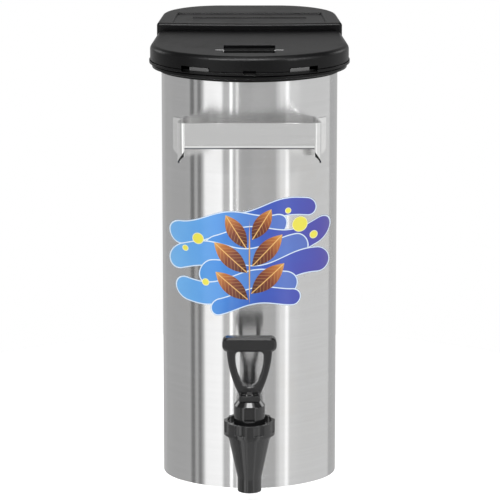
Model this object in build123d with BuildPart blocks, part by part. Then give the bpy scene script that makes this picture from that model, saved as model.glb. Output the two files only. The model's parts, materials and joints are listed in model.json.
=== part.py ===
from build123d import *
import os
from math import atan2, cos, degrees, radians, sin

os.makedirs("parts", exist_ok=True)

# Oval tea urn, in millimetres. The origin is the middle of its footprint on the counter,
# +Z is up and the tap looks along -Y.

# Tank
tank_width = 165.0
tank_depth = 235.0
tank_corner_radius = 55.0
nose_crown = 11.0  # how far the middle of each rounded end stands beyond its corner arcs
tank_height = 397.0
wall_thickness = 1.0
floor_top = 38.0
floor_flange = 14.0
floor_bend = 4.0
weld_gap = 0.1

# Strap handles
handle_sheet = 1.5
handle_reach = 25.0
handle_side_inset = 16.0  # from the tank's side to the handle's side
handle_bend = 7.0
handle_drop = 40.0  # from the wall's upper edge to the strap's
handle_strap_height = 25.0
handle_leg_height = 40.0
handle_leg_round = 15.0
handle_leg_draw = 13.0  # by which a leg, run on to the middle of the tank, draws in
handle_top_fall = 4.0  # of the legs' upper edges, from the strap to the wall
handle_roll = 4.7
handle_lip = 4.0
foot_width = 10.0
foot_inset = 4.5  # from the strap's side to the foot's inner edge, where the leg meets the wall
foot_drop = 5.0
foot_round = 8.0
foot_overrun = 0.3  # by which the rounding runs past the foot's side

# Film on the front
film_thickness = 0.15
film_side_inset = 4.5
film_drop = 106.0  # from the wall's upper edge to the film's
film_height = 128.0
film_wave = 12.0
film_slope = 24.0

# Lid outline
lid_side_overhang = 10.6
lid_front_overhang = 9.0
lid_rear_overhang = 9.0
lid_rear_radius = 55.0
lid_taper = 4.8  # degrees by which each side draws in towards the back

# Lid frame
gasket_thickness = 1.2
gasket_side_gap = 0.1
deck_thickness = 2.2
deck_front = -2.5
deck_rim = 9.0
deck_corner = 8.0
collar_drop = 6.3
collar_wall = 1.8
collar_gap = 0.5
spigot_depth = 8.0
spigot_wall = 2.0
spigot_gap = 0.6
ridge_height = 2.4
ridge_slope = 1.7
upper_ridge_reach = 0.9  # beyond the front cover
lower_ridge_inset = 1.8
ridge_taper = 72.0

# Front cover
cover_gap = 0.4
cover_skirt = 14.6
cover_wall = 2.2
cover_top = 1.8
cover_round = 5.0
cover_inner_taper = 30.0
slot_inner = 37.0
slot_outer = 63.0
slot_height = 3.4
slot_drop = 1.9  # of each slot's open end, into the frame
catch_outer = 55.0
catch_gap = 0.4
catch_height = 3.2
catch_depth = 3.0
catch_round = 1.5
notch_width = 12.0
notch_depth = 3.0
notch_height = 1.6

# Cover hinge
hinge_y = 10.5
hinge_drop = 5.0  # from the cover's top to the hinge axis
hinge_pin_radius = 1.6
hinge_running_fit = 0.05
hinge_knuckle_radius = 2.9
hinge_knuckle_width = 7.0
hinge_side_gap = 0.4
hinge_side_inset = 16.5
cover_rear_reach = 2.5

# Pocket with the fill door
pocket_width = 48.0
pocket_length = 41.0
pocket_inset = 13.5  # from the tank's front to the pocket
pocket_depth = 9.5
pocket_wall = 1.8
fill_hole_radius = 8.0
fill_hole_inset = 27.0
door_pin_inset = 16.0
door_pin_radius = 1.5
door_pin_overrun = 7.5
door_pin_drop = 1.4
door_running_fit = 0.08
door_barrel_radius = 2.7
door_plate = 2.0
door_web = 2.4
door_gap = 0.5
door_floor_gap = 0.3
door_rear_gap = 2.0
pin_boss = 6.5
pin_boss_end = 2.0
pin_seat_fit = 0.05

# Rear hood
hood_height = 21.4
hood_side_reach = 1.8  # beyond the front cover
hood_front = 16.5
hood_bow = 6.0
hood_wall = 2.2
hood_top = 3.4
hood_round = 2.5
hood_corner = 3.0
recess_front_inset = 8.0
recess_rear_inset = 34.0
recess_side_inset = 8.5
recess_draw = 4.0  # by which the recess is narrower at its back, on each side
recess_depth = 1.4
recess_corner = 3.0
recess_taper = 20.0
panel_side_inset = 27.5
panel_front_inset = 11.0
panel_length = 37.0
panel_depth = 0.7
screw_radius = 2.0
screw_clearance = 0.25
screw_head_radius = 3.8
screw_head_height = 2.4
screw_length = 11.0
boss_radius = 4.0
front_screw_side_inset = 22.5
front_screw_inset = 18.0
rear_screw_side_inset = 40.5
rear_screw_inset = 33.0

# Tap
tap_reach = 44.0
tap_bottom = 12.5
nozzle_radius = 11.15
nozzle_height = 12.5
cone_radius = 19.75
cone_rise = 10.5  # from the shank's axis to the top of the cone
rim_radius = 20.7
rim_height = 2.0
thread_radius = 17.0
thread_height = 7.0
outlet_radius = 7.0
chamber_radius = 13.0
chamber_drop = 9.0  # from the shank's axis to the chamber's floor
seat_rise = 1.0
seat_lip = 1.5
shank_rise = 17.0  # from the floor's top to the shank's axis
neck_radius = 9.8
shank_flange_radius = 20.0
shank_flange = 3.5
shank_radius = 8.0
shank_bore = 5.5
shank_inside = 15.0
hole_clearance = 0.4
washer_thickness = 2.6
outer_washer_radius = 19.0
inner_washer_radius = 13.5
nut_width = 25.0
nut_thickness = 8.0

# Bonnet
bonnet_gap = 0.3
bonnet_radius = 23.7
bonnet_height = 12.8
lobe_count = 8
lobe_cut_radius = 13.0
lobe_cut_depth = 1.8
lobe_cut_rise = 3.0
dish_outer = 20.6
dish_depth = 3.4
dome_radius = 14.5
dome_rise = 19.4
dome_bevel_inset = 3.6
dome_bevel_drop = 4.5
dome_wall = 5.0
dome_roof = 3.2
window_width = 10.0
window_height = 14.0
window_drop = 4.0
window_depth = 2.6

# Stem, spring and cup
stem_radius = 2.5
stem_guide_gap = 0.3
eye_width = 4.6
eye_front = 5.0
eye_back = 3.0
eye_height = 6.0
eye_slot_gap = 0.3
eye_slot_travel = 2.5
collar_side_gap = 1.5
collar_height = 2.0
button_radius = 4.0
button_height = 3.0
spring_side_gap = 2.3
spring_wire = 1.6
spring_length = 14.3
cup_gap = 0.2
cup_side_gap = 3.5
button_inset = 1.0
cup_lip = 4.0
cup_neck_radius = 6.0
cup_height = 18.0
soft_fit = 0.1

# Tap handle
heel_gap = 0.3
heel_radius = 0.7
heel_ahead = 8.5
neck_half_width = 9.5
neck_back = 8.0
neck_height = 8.5
handle_pin_radius = 1.5
handle_pin_rise = 2.5  # from the heel's axis to the cross pin
handle_pin_inset = 1.0
loop_depth = 9.5
loop_bottom_half = 9.5
loop_mid_half = 16.9
loop_top_half = 21.0
loop_mid_rise = 23.7  # this and the other rises are from the underside of the neck
finger_bottom_rise = 13.2
finger_widest_rise = 41.2
finger_top_rise = 46.7
finger_half = 13.0
finger_round = 4.0
loop_round = 1.5
bar_half_width = 25.1
bar_height = 13.7
bar_depth = 11.5
bar_round = 5.5
bar_bevel = 1.8
hollow_bottom_half = 8.3
hollow_top_half = 5.0
hollow_rise = 5.2
hollow_height = 6.7
hollow_depth = 3.0
slot_side_gap = 0.4
slot_rise = 9.7
neck_front_wall = 3.0

# Places worked out from the sizes above
half_width = tank_width / 2
corner_x = half_width - tank_corner_radius
front_y = -tank_depth / 2
side_half = tank_depth / 2 - tank_corner_radius - nose_crown
handle_width = tank_width - 2 * handle_side_inset
handle_top = tank_height - handle_drop
film_half_width = half_width - film_side_inset
film_top = tank_height - film_drop
film_bottom = film_top - film_height
lid_corner_radius = tank_corner_radius + lid_side_overhang
lid_crown = nose_crown + lid_front_overhang - lid_side_overhang
lid_rear_y = tank_depth / 2 + lid_rear_overhang - lid_rear_radius
deck_bottom = tank_height + gasket_thickness
deck_z = deck_bottom + deck_thickness
cover_bottom = deck_z + cover_gap
cover_z = cover_bottom + cover_skirt
hinge_z = cover_z - hinge_drop
hinge_half_length = half_width - hinge_side_inset
cover_rear = hinge_y + cover_rear_reach
pocket_front = front_y + pocket_inset
pocket_rear = pocket_front + pocket_length
pocket_floor = cover_z - pocket_depth
fill_hole_y = pocket_front + fill_hole_inset
door_pin_y = pocket_front + door_pin_inset
door_pin_z = cover_z - door_pin_drop
door_pin_length = pocket_width + 2 * door_pin_overrun
hood_z = deck_z + hood_height
screw_places = (
    (half_width - front_screw_side_inset, hood_front + front_screw_inset),
    (half_width - rear_screw_side_inset, tank_depth / 2 - rear_screw_inset),
)
tap_y = front_y - tap_reach
tap_axis = Axis((0, tap_y, 0), (0, 0, 1))
shank_z = floor_top + shank_rise
chamber_floor = shank_z - chamber_drop
cone_top = shank_z + cone_rise
bonnet_z = cone_top + rim_height + bonnet_gap
bonnet_top = bonnet_z + bonnet_height
bonnet_cavity_top = cone_top + rim_height + thread_height + bonnet_gap
dome_top = bonnet_top + dome_rise
dome_bore = dome_radius - dome_wall
window_z = dome_top - window_drop - window_height / 2
spring_top = dome_top - dome_roof
spring_outer = dome_bore - spring_side_gap
collar_radius = dome_bore - collar_side_gap
collar_top = spring_top - spring_length
cup_radius = chamber_radius - cup_side_gap
neck_z = dome_top + heel_gap
heel_y = tap_y - heel_ahead
heel_z = neck_z + heel_radius
pin_z = heel_z + handle_pin_rise
handle_pin_length = 2 * (neck_half_width - handle_pin_inset)
hollow_bottom = neck_z + hollow_rise
finger_bottom = neck_z + finger_bottom_rise
finger_widest = neck_z + finger_widest_rise
finger_top = neck_z + finger_top_rise


def end_arcs(corner_radius, crown):
    """Give the flatter arc that closes a rounded end: its setback, radius and half angle."""
    setback = (corner_x**2 - crown**2) / (2 * crown)
    return setback, corner_radius + crown + setback, degrees(atan2(corner_x, setback))


nose_setback, nose_radius, nose_angle = end_arcs(tank_corner_radius, nose_crown)
lid_setback, lid_nose_radius, lid_nose_angle = end_arcs(lid_corner_radius, lid_crown)


def draw_oval(grow=0.0, mode=Mode.ADD):
    """Draw the tank's outline in the open sketch, grown outwards."""
    reach = half_width + grow
    with BuildLine() as outline:
        CenterArc((0, nose_setback - side_half), nose_radius + grow, 270 - nose_angle, 2 * nose_angle)
        for side in (-1, 1):
            corner = (side * corner_x, -side_half)
            turn = 90 - nose_angle
            CenterArc(corner, tank_corner_radius + grow, 270 + side * nose_angle, side * turn)
            Line((side * reach, -side_half), (side * reach, 0))
        mirror(about=Plane.XZ)
    make_face(outline.edges(), mode=mode)


def draw_lid(grow=0.0, mode=Mode.ADD):
    """Draw the lid's outline in the open sketch, grown outwards."""
    taper = radians(lid_taper)
    side_distance = corner_x * cos(taper) - side_half * sin(taper) + lid_corner_radius
    rear_x = (side_distance - lid_rear_radius - lid_rear_y * sin(taper)) / cos(taper)
    turn = 90 - lid_nose_angle + lid_taper
    with BuildLine() as outline:
        CenterArc((0, lid_setback - side_half), lid_nose_radius + grow, 270, lid_nose_angle)
        front = CenterArc((corner_x, -side_half), lid_corner_radius + grow, 270 + lid_nose_angle, turn)
        rear = CenterArc((rear_x, lid_rear_y), lid_rear_radius + grow, lid_taper, 90 - lid_taper)
        Line(front @ 1, rear @ 0)
        Line(rear @ 1, (0, lid_rear_y + lid_rear_radius + grow))
        mirror(about=Plane.YZ)
    make_face(outline.edges(), mode=mode)


def save(builder, name):
    """Label a finished piece and write it to its own file."""
    builder.part.label = name
    export_step(builder.part, f"parts/{name}.step")


# Tank wall: an open oval tube of sheet, with the hole for the tap's shank
with BuildPart() as tank_wall:
    with BuildSketch():
        draw_oval()
        draw_oval(-wall_thickness, Mode.SUBTRACT)
    extrude(amount=tank_height)
    with BuildSketch(Plane.XZ.offset(-front_y)):
        with Locations((0, shank_z)):
            Circle(shank_radius + hole_clearance)
    extrude(amount=-tank_corner_radius / 2, mode=Mode.SUBTRACT)
save(tank_wall, "tank_wall")

# Tank floor: a pan with a turned-down flange, welded inside the wall
with BuildPart() as tank_floor:
    with BuildSketch(Plane.XY.offset(floor_top - floor_flange)):
        draw_oval(-wall_thickness - weld_gap)
    extrude(amount=floor_flange)
    fillet(tank_floor.faces().sort_by(Axis.Z)[-1].edges(), floor_bend)
    offset(amount=-wall_thickness, openings=tank_floor.faces().sort_by(Axis.Z)[0])
save(tank_floor, "tank_floor")


def make_handle(name, end):
    """Bend one strap handle onto the end of the tank that looks along end * Y."""
    handle_bottom = handle_top - handle_leg_height
    strap_bottom = handle_top - handle_strap_height
    strap_y = tank_depth / 2 + handle_reach
    leg_x = (handle_width - handle_sheet) / 2
    flat_half = handle_width / 2 - handle_bend
    # Feet turned outwards along the wall
    with BuildPart() as feet:
        with BuildSketch(Plane.XY.offset(handle_bottom)):
            draw_oval(handle_sheet)
            draw_oval(mode=Mode.SUBTRACT)
            foot_x = leg_x - foot_inset + foot_width / 2
            with Locations((-foot_x, tank_depth / 2), (foot_x, tank_depth / 2)):
                Rectangle(foot_width, tank_depth - handle_sheet, mode=Mode.INTERSECT)
        extrude(amount=handle_leg_height - foot_drop)
        edge_x = foot_x + foot_width / 2
        round_x = edge_x - foot_round + foot_overrun
        with BuildSketch(Plane.XZ):
            with Locations((-edge_x, handle_bottom), (edge_x, handle_bottom)):
                Rectangle(2 * foot_round, 2 * foot_round)
            with Locations(
                (-round_x, handle_bottom + foot_round), (round_x, handle_bottom + foot_round)
            ):
                Circle(foot_round, mode=Mode.SUBTRACT)
        extrude(amount=-tank_depth, mode=Mode.SUBTRACT)
    with BuildPart() as handle:
        with BuildSketch(Plane.XY.offset(handle_bottom)):
            with BuildLine():
                FilletPolyline(
                    (handle_leg_draw - leg_x, 0),
                    (-leg_x, strap_y - handle_sheet / 2),
                    (leg_x, strap_y - handle_sheet / 2),
                    (leg_x - handle_leg_draw, 0),
                    radius=handle_bend - handle_sheet / 2,
                )
            trace(line_width=handle_sheet)
            draw_oval(mode=Mode.SUBTRACT)
        extrude(amount=handle_leg_height)
        # The legs' lower front corners are rounded
        with BuildSketch(Plane.YZ.offset(-handle_width / 2)):
            with Locations((strap_y, handle_bottom)):
                Rectangle(2 * handle_leg_round, 2 * handle_leg_round)
            with Locations((strap_y - handle_leg_round, handle_bottom + handle_leg_round)):
                Circle(handle_leg_round, mode=Mode.SUBTRACT)
            with Locations((strap_y - 2 * handle_leg_round, handle_bottom + handle_leg_round)):
                Rectangle(2 * handle_leg_round, 4 * handle_leg_round, mode=Mode.SUBTRACT)
            with Locations((strap_y, handle_bottom + 2 * handle_leg_round)):
                Rectangle(4 * handle_leg_round, 2 * handle_leg_round, mode=Mode.SUBTRACT)
        extrude(amount=handle_width, mode=Mode.SUBTRACT)
        # The strap between the legs ends in a rolled lower edge
        with BuildSketch(Plane.XY.offset(handle_bottom)):
            with Locations((0, strap_y)):
                Rectangle(2 * flat_half, 2 * handle_bend)
        extrude(amount=strap_bottom + handle_roll - handle_bottom, mode=Mode.SUBTRACT)
        with BuildSketch(Plane.YZ.offset(-flat_half)):
            with BuildLine():
                turn_y = strap_y - handle_roll
                turn_z = strap_bottom + handle_roll
                outer = CenterArc((turn_y, turn_z), handle_roll, 270, 90)
                inner = CenterArc((turn_y, turn_z), handle_roll - handle_sheet, 270, 90)
                lip_y = turn_y - handle_lip
                Line(outer @ 1, inner @ 1)
                Polyline(
                    inner @ 0,
                    (lip_y, strap_bottom + handle_sheet),
                    (lip_y, strap_bottom),
                    outer @ 0,
                )
            make_face()
        extrude(amount=2 * flat_half)
        # The legs' upper edges fall towards the wall
        with BuildSketch(Plane.YZ.offset(-handle_width / 2)):
            with BuildLine():
                Polyline(
                    (strap_y - handle_bend, handle_top),
                    (strap_y - handle_bend - 2 * handle_reach, handle_top - handle_top_fall),
                    (0, handle_top - handle_top_fall),
                    (0, handle_top),
                    close=True,
                )
            make_face()
        extrude(amount=handle_width, mode=Mode.SUBTRACT)
        add(feet.part)
        if end < 0:
            mirror(about=Plane.XZ, mode=Mode.REPLACE)
    save(handle, name)


make_handle("front_handle", -1)
make_handle("rear_handle", 1)

# Film: a thin printed sheet that lies on the front of the wall
with BuildPart() as front_decal:
    with BuildSketch(Plane.XY.offset(film_bottom)):
        draw_oval(film_thickness)
        draw_oval(mode=Mode.SUBTRACT)
    extrude(amount=film_top - film_bottom)
    with BuildSketch(Plane.XZ):
        with BuildLine():
            upper = Spline(
                (-film_half_width, film_top - film_wave - film_slope),
                (-film_half_width / 2, film_top),
                (0, film_top - film_wave),
                (film_half_width / 2, film_top),
                (film_half_width, film_top - film_slope),
            )
            lower = Spline(
                (film_half_width, film_bottom + film_wave + film_slope),
                (film_half_width / 2, film_bottom),
                (0, film_bottom + film_wave),
                (-film_half_width / 2, film_bottom),
                (-film_half_width, film_bottom + film_slope),
            )
            Line(upper @ 1, lower @ 0)
            Line(lower @ 1, upper @ 0)
        make_face()
    extrude(amount=tank_depth, mode=Mode.INTERSECT)
save(front_decal, "front_decal")

# Lid frame: ring, deck, collar and spigot, with lugs for the cover's hinge
lug_x = hinge_half_length - hinge_knuckle_width / 2
knuckle_step = hinge_knuckle_width + hinge_side_gap
hinge_place = Location((0, hinge_y, hinge_z), (0, 90, 0))
hood_screw_places = [(side * x, y) for x, y in screw_places for side in (-1, 1)]


def draw_knuckle(root_z):
    """Draw one hinge knuckle in the open sketch, with its web up or down to root_z."""
    with Locations((hinge_y, hinge_z)):
        Circle(hinge_knuckle_radius)
    with Locations((hinge_y, (hinge_z + root_z) / 2)):
        Rectangle(2 * hinge_knuckle_radius, abs(hinge_z - root_z))


with BuildPart() as lid_frame:
    # Upper and lower ridge, each drawn in below by a slope
    ridge_z = deck_z
    for reach in (upper_ridge_reach, -lower_ridge_inset):
        with BuildSketch(Plane.XY.offset(ridge_z)):
            draw_lid(reach)
        extrude(amount=-ridge_height)
        with BuildSketch(Plane.XY.offset(ridge_z - ridge_height)):
            draw_lid(reach)
        extrude(amount=-ridge_slope, taper=ridge_taper)
        ridge_z -= ridge_height + ridge_slope
    with BuildSketch(Plane.XY.offset(tank_height - collar_drop)):
        draw_oval(collar_gap + collar_wall)
    extrude(amount=deck_z - tank_height + collar_drop)
    # Room for the tank's edge, the gasket and the tank's mouth
    with BuildSketch(Plane.XY.offset(tank_height - collar_drop)):
        draw_oval(collar_gap)
    extrude(amount=deck_bottom - tank_height + collar_drop, mode=Mode.SUBTRACT)
    with BuildSketch(Plane.XY.offset(tank_height - spigot_depth)):
        draw_oval(-wall_thickness - spigot_gap)
        draw_oval(-wall_thickness - spigot_gap - spigot_wall, Mode.SUBTRACT)
    extrude(amount=deck_bottom - tank_height + spigot_depth)
    with BuildSketch(Plane.XY.offset(deck_bottom)):
        draw_oval(-deck_rim)
        with Locations((0, deck_front - tank_depth / 2)):
            RectangleRounded(2 * tank_width, tank_depth, deck_corner, mode=Mode.INTERSECT)
    extrude(amount=deck_thickness, mode=Mode.SUBTRACT)
    # Screw holes for the hood
    with BuildSketch(Plane.XY.offset(deck_bottom)):
        with Locations(*hood_screw_places):
            Circle(screw_radius + screw_clearance)
    extrude(amount=deck_thickness, mode=Mode.SUBTRACT)
    # Finger notch in the middle of the front
    with BuildSketch(Plane.XY.offset(deck_z)):
        with Locations((0, front_y - lid_front_overhang)):
            Rectangle(notch_width, 2 * notch_depth)
    extrude(amount=-notch_height, mode=Mode.SUBTRACT)
    # Open ends of the catches' slots
    with BuildSketch(Plane.XY.offset(deck_z)):
        draw_lid(lid_front_overhang)
        draw_lid(-catch_gap - catch_depth, Mode.SUBTRACT)
        open_x = (catch_outer + slot_outer) / 2
        with Locations((-open_x, front_y), (open_x, front_y)):
            Rectangle(slot_outer - catch_outer, tank_depth / 2, mode=Mode.INTERSECT)
    extrude(amount=-slot_drop, mode=Mode.SUBTRACT)
    # Lugs for the hinge rod
    for x in (-lug_x, 0, lug_x):
        with BuildSketch(Plane.YZ.offset(x - hinge_knuckle_width / 2)):
            draw_knuckle(deck_z)
        extrude(amount=hinge_knuckle_width)
    with Locations(hinge_place):
        Cylinder(hinge_pin_radius + hinge_running_fit, 2 * hinge_half_length, mode=Mode.SUBTRACT)
save(lid_frame, "lid_frame")

# Gasket between the wall's edge and the frame
with BuildPart() as lid_gasket:
    with BuildSketch(Plane.XY.offset(tank_height)):
        draw_oval(collar_gap - gasket_side_gap)
        draw_oval(gasket_side_gap - wall_thickness - spigot_gap, Mode.SUBTRACT)
    extrude(amount=gasket_thickness)
save(lid_gasket, "lid_gasket")

# Catches that stand in the slots of the cover's skirt
for name, side in (("left_catch", -1), ("right_catch", 1)):
    with BuildPart() as catch:
        with BuildSketch(Plane.XY.offset(deck_z)):
            draw_lid(-catch_gap)
            draw_lid(-catch_gap - catch_depth, Mode.SUBTRACT)
            middle = (slot_inner + catch_gap + catch_outer) / 2
            with Locations((side * middle, front_y)):
                width = catch_outer - slot_inner - catch_gap
                Rectangle(width, tank_depth / 2, mode=Mode.INTERSECT)
        extrude(amount=catch_height)
        inner_end = catch.faces().sort_by(Axis.X)[0 if side > 0 else -1]
        fillet(inner_end.edges().sort_by(Axis.Z)[-1], catch_round)
    save(catch, name)

# Rod that the front cover turns on
with BuildPart() as cover_hinge_pin:
    with Locations(hinge_place):
        Cylinder(hinge_pin_radius, 2 * hinge_half_length)
save(cover_hinge_pin, "cover_hinge_pin")

# Front cover: a shell with a skirt, a deep pocket, slots for the catches and knuckles
cover_inside = cover_z - cover_top
with BuildPart() as front_cover:
    with BuildSketch(Plane.XY.offset(cover_bottom)):
        draw_lid()
    extrude(amount=cover_skirt)
    fillet(front_cover.faces().sort_by(Axis.Z)[-1].edges(), cover_round)
    with BuildSketch(Plane.XY.offset(cover_bottom)):
        draw_lid(-cover_wall)
    extrude(amount=cover_inside - cover_bottom - cover_round, mode=Mode.SUBTRACT)
    with BuildSketch(Plane.XY.offset(cover_inside - cover_round)):
        draw_lid(-cover_wall)
    extrude(amount=cover_round, taper=cover_inner_taper, mode=Mode.SUBTRACT)
    # Pocket, with its walls and floor
    pocket_y = (pocket_front + pocket_rear) / 2
    with BuildSketch(Plane.XY.offset(pocket_floor - pocket_wall)):
        with Locations((0, pocket_y)):
            Rectangle(pocket_width + 2 * pocket_wall, pocket_length + 2 * pocket_wall)
    extrude(amount=cover_inside - pocket_floor + pocket_wall)
    boss_length = door_pin_length + 2 * pin_boss_end
    with BuildSketch(Plane.XY.offset(door_pin_z - door_barrel_radius)):
        with Locations((0, door_pin_y)):
            Rectangle(boss_length, pin_boss)
    extrude(amount=cover_inside - door_pin_z + door_barrel_radius)
    with BuildSketch(Plane.XY.offset(pocket_floor)):
        with Locations((0, pocket_y)):
            Rectangle(pocket_width, pocket_length)
    extrude(amount=pocket_depth, mode=Mode.SUBTRACT)
    with Locations((0, fill_hole_y, pocket_floor)):
        Cylinder(fill_hole_radius, 2 * pocket_wall, mode=Mode.SUBTRACT)
    # Grooves that the steel pin is dropped into
    with Locations(Location((0, door_pin_y, door_pin_z), (0, 90, 0))):
        Cylinder(door_pin_radius + pin_seat_fit, door_pin_length + 2 * pin_seat_fit, mode=Mode.SUBTRACT)
    with BuildSketch(Plane.XY.offset(door_pin_z)):
        with Locations((0, door_pin_y)):
            groove = 2 * (door_pin_radius + pin_seat_fit)
            Rectangle(door_pin_length + 2 * pin_seat_fit, groove)
    extrude(amount=door_pin_drop, mode=Mode.SUBTRACT)
    # The cover ends short of the hood, and its skirt is cut back where it swings past the deck
    with BuildSketch(Plane.YZ.offset(-tank_width)):
        with BuildLine():
            Polyline(
                (cover_rear, cover_z + cover_gap),
                (cover_rear, hinge_z - hinge_knuckle_radius),
                (hinge_y, cover_bottom),
                (hinge_y, cover_bottom - cover_gap),
                (tank_depth, cover_bottom - cover_gap),
                (tank_depth, cover_z + cover_gap),
                close=True,
            )
        make_face()
    extrude(amount=2 * tank_width, mode=Mode.SUBTRACT)
    # Slots for the catches and the finger notch
    with BuildSketch(Plane.XY.offset(cover_bottom)):
        slot_x = (slot_inner + slot_outer) / 2
        with Locations((-slot_x, front_y), (slot_x, front_y)):
            Rectangle(slot_outer - slot_inner, tank_depth / 2)
    extrude(amount=slot_height, mode=Mode.SUBTRACT)
    with BuildSketch(Plane.XY.offset(cover_bottom)):
        with Locations((0, front_y - lid_front_overhang)):
            Rectangle(notch_width, 2 * lid_front_overhang)
    extrude(amount=notch_height, mode=Mode.SUBTRACT)
    # Knuckles beside the frame's lugs
    for x in (knuckle_step - lug_x, -knuckle_step, knuckle_step, lug_x - knuckle_step):
        with BuildSketch(Plane.YZ.offset(x - hinge_knuckle_width / 2)):
            draw_knuckle(cover_inside)
        extrude(amount=hinge_knuckle_width)
    with Locations(hinge_place):
        Cylinder(hinge_pin_radius + hinge_running_fit, 2 * hinge_half_length, mode=Mode.SUBTRACT)
save(front_cover, "front_cover")

# Steel pin of the fill door
with BuildPart() as fill_door_pin:
    with Locations(Location((0, door_pin_y, door_pin_z), (0, 90, 0))):
        Cylinder(door_pin_radius, door_pin_length)
save(fill_door_pin, "fill_door_pin")

# Fill door: a barrel on the pin, a web and a plate over the fill hole
with BuildPart() as fill_door:
    plate_bottom = pocket_floor + door_floor_gap
    plate_front = door_pin_y - door_web / 2
    plate_length = pocket_rear - door_rear_gap - plate_front
    with BuildSketch(Plane.YZ.offset(door_gap - pocket_width / 2)):
        with Locations((door_pin_y, door_pin_z)):
            Circle(door_barrel_radius)
        with Locations((door_pin_y, (door_pin_z + plate_bottom) / 2)):
            Rectangle(door_web, door_pin_z - plate_bottom)
        with Locations((plate_front + plate_length / 2, plate_bottom + door_plate / 2)):
            Rectangle(plate_length, door_plate)
        with Locations((door_pin_y, door_pin_z)):
            Circle(door_pin_radius + door_running_fit, mode=Mode.SUBTRACT)
    extrude(amount=pocket_width - 2 * door_gap)
save(fill_door, "fill_door")

# Rear hood: a bowed shell with a stepped recess in its top and bosses for its screws
hood_half = half_width + lid_side_overhang + hood_side_reach
bow_radius = (hood_half**2 + hood_bow**2) / (2 * hood_bow)
with BuildPart() as rear_hood:
    with BuildSketch(Plane.XY.offset(deck_z)):
        draw_lid(hood_side_reach)
        with Locations((0, hood_front + bow_radius)):
            Circle(bow_radius, mode=Mode.INTERSECT)
    extrude(amount=hood_height)
    fillet(rear_hood.edges().filter_by(Axis.Z).group_by(Axis.Y)[0], hood_corner)
    fillet(rear_hood.faces().sort_by(Axis.Z)[-1].edges(), hood_round)
    with BuildSketch(Plane.XY.offset(deck_z)):
        draw_lid(hood_side_reach - hood_wall)
        with Locations((0, hood_front + bow_radius)):
            Circle(bow_radius - hood_wall, mode=Mode.INTERSECT)
    extrude(amount=hood_height - hood_top, mode=Mode.SUBTRACT)
    recess_half = half_width - recess_side_inset
    recess_front = hood_front + recess_front_inset
    recess_rear = tank_depth / 2 - recess_rear_inset
    with BuildSketch(Plane.XY.offset(hood_z)):
        with BuildLine():
            FilletPolyline(
                (-recess_half, recess_front),
                (recess_half, recess_front),
                (recess_half - recess_draw, recess_rear),
                (recess_draw - recess_half, recess_rear),
                radius=recess_corner,
                close=True,
            )
        make_face()
    extrude(amount=-recess_depth, taper=recess_taper, mode=Mode.SUBTRACT)
    with BuildSketch(Plane.XY.offset(hood_z - recess_depth)):
        with Locations((0, hood_front + panel_front_inset + panel_length / 2)):
            Rectangle(2 * (half_width - panel_side_inset), panel_length)
    extrude(amount=-panel_depth, mode=Mode.SUBTRACT)
    with BuildSketch(Plane.XY.offset(deck_z)):
        with Locations(*hood_screw_places):
            Circle(boss_radius)
    extrude(amount=hood_height - hood_top)
    with BuildSketch(Plane.XY.offset(deck_z)):
        with Locations(*hood_screw_places):
            Circle(screw_radius + pin_seat_fit)
    extrude(amount=screw_length - deck_thickness + screw_clearance, mode=Mode.SUBTRACT)
save(rear_hood, "rear_hood")

# Screws that hold the hood from below
with BuildPart() as hood_screws:
    with BuildSketch(Plane.XY.offset(deck_bottom)):
        with Locations(*hood_screw_places):
            Circle(screw_radius)
    extrude(amount=screw_length)
    with BuildSketch(Plane.XY.offset(deck_bottom)):
        with Locations(*hood_screw_places):
            Circle(screw_head_radius)
    extrude(amount=-screw_head_height)
    fillet(hood_screws.edges().group_by(Axis.Z)[0], screw_head_height / 2)
save(hood_screws, "hood_screws")

# Tap body: nozzle, cone and threaded mouth on a shank that runs back through the wall
tap_plane = Plane.XZ.offset(-tap_y)
mouth_z = cone_top + rim_height + thread_height
shank_front = front_y - washer_thickness
with BuildPart() as tap_body:
    with BuildSketch(tap_plane):
        with BuildLine():
            Polyline(
                (0, tap_bottom),
                (nozzle_radius, tap_bottom),
                (nozzle_radius, tap_bottom + nozzle_height),
                (cone_radius, cone_top),
                (rim_radius, cone_top),
                (rim_radius, cone_top + rim_height),
                (thread_radius, cone_top + rim_height),
                (thread_radius, mouth_z),
                (0, mouth_z),
                close=True,
            )
        make_face()
    revolve(axis=tap_axis)
    neck_start = chamber_radius / 2
    with BuildSketch(tap_plane.offset(-neck_start)):
        with Locations((0, shank_z)):
            Circle(neck_radius)
    extrude(amount=-(tap_reach - washer_thickness - shank_flange / 2 - neck_start))
    with BuildSketch(Plane.XZ.offset(-shank_front)):
        with Locations((0, shank_z)):
            Circle(shank_flange_radius)
    extrude(amount=shank_flange)
    with BuildSketch(Plane.XZ.offset(-shank_front)):
        with Locations((0, shank_z)):
            Circle(shank_radius)
    extrude(amount=-(washer_thickness + shank_inside))
    with BuildSketch(Plane.XY.offset(chamber_floor)):
        with Locations((0, tap_y)):
            Circle(chamber_radius)
            Circle(outlet_radius + seat_lip, mode=Mode.SUBTRACT)
    extrude(amount=seat_rise, mode=Mode.SUBTRACT)
    with BuildSketch(Plane.XY.offset(chamber_floor + seat_rise)):
        with Locations((0, tap_y)):
            Circle(chamber_radius)
    extrude(amount=mouth_z - chamber_floor - seat_rise, mode=Mode.SUBTRACT)
    with BuildSketch(Plane.XY.offset(tap_bottom)):
        with Locations((0, tap_y)):
            Circle(outlet_radius)
    extrude(amount=chamber_floor + seat_rise - tap_bottom, mode=Mode.SUBTRACT)
    with BuildSketch(tap_plane.offset(-neck_start)):
        with Locations((0, shank_z)):
            Circle(shank_bore)
    extrude(amount=-(tap_reach + shank_inside - neck_start), mode=Mode.SUBTRACT)
save(tap_body, "tap_body")

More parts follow.
